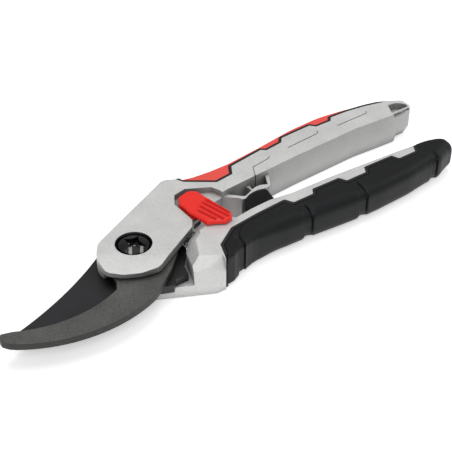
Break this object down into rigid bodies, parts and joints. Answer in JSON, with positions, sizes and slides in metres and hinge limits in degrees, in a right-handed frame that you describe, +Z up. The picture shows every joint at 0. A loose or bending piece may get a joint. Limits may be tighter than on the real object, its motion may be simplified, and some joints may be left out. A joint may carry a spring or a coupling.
{
  "type": "pruning shears",
  "caption": "Bypass pruning shears with two cast handle halves on a pivot bolt, a hook and a cutting blade, a coil spring, a thumb lock and inlaid grips.",
  "frame": {"origin": "on the pivot axis, in the plane of the underside that the closed tool lies on", "axes": "+X from the blades to the handle ends, +Y towards the handle half that carries the hook and the lock, +Z up along the pivot axis"},
  "size_m": [0.2239, 0.0609, 0.0174],
  "materials": {
    "cast_aluminium": "fine sandblasted cast aluminium, satin",
    "hook_steel": "dark grey non-stick coating, fine grain, satin",
    "blade_steel": "black non-stick coating, satin, with a ground edge",
    "bare_steel": "plain machined steel",
    "black_bolt": "black oxide, semi-gloss",
    "black_plastic": "hard black plastic, fine texture",
    "black_rubber": "soft black grip rubber, matt",
    "red_rubber": "soft red grip rubber, matt",
    "red_plastic": "red plastic, satin",
    "stop_rubber": "black rubber, matt"
  },
  "bodies": {
    "lower_handle": {"lower_casting": "cast_aluminium", "cutting_blade": "blade_steel", "blade_screws": "bare_steel", "lower_grip_frame": "black_plastic", "lower_grip_panel": "black_rubber", "main_spring": "bare_steel"},
    "upper_handle": {"upper_casting": "cast_aluminium", "hook_blade": "hook_steel", "hook_screws": "bare_steel", "upper_grip_frame": "black_plastic", "upper_grip_panel": "red_rubber", "stop_bumper": "stop_rubber", "pivot_bolt": "black_bolt", "pivot_bush": "bare_steel", "pivot_nut": "black_bolt", "pivot_washer": "bare_steel", "lock_pin": "bare_steel", "lock_washer": "bare_steel", "lock_ball": "bare_steel", "lock_spring": "bare_steel"},
    "thumb_lock": {"lock_lever": "red_plastic", "lock_catch": "bare_steel"}
  },
  "joints": [
    {"name": "handles_open", "type": "hinge", "parent": "lower_handle", "child": "upper_handle", "pos_m": [0, 0, 0.0075], "axis": [0, 0, 1], "range_deg": [0, 30], "deforming": ["main_spring"]},
    {"name": "lock_swing", "type": "hinge", "parent": "upper_handle", "child": "thumb_lock", "pos_m": [0.0333, 0.0108, 0.0135], "axis": [0, 0, 1], "range_deg": [-5, 30]}
  ]
}
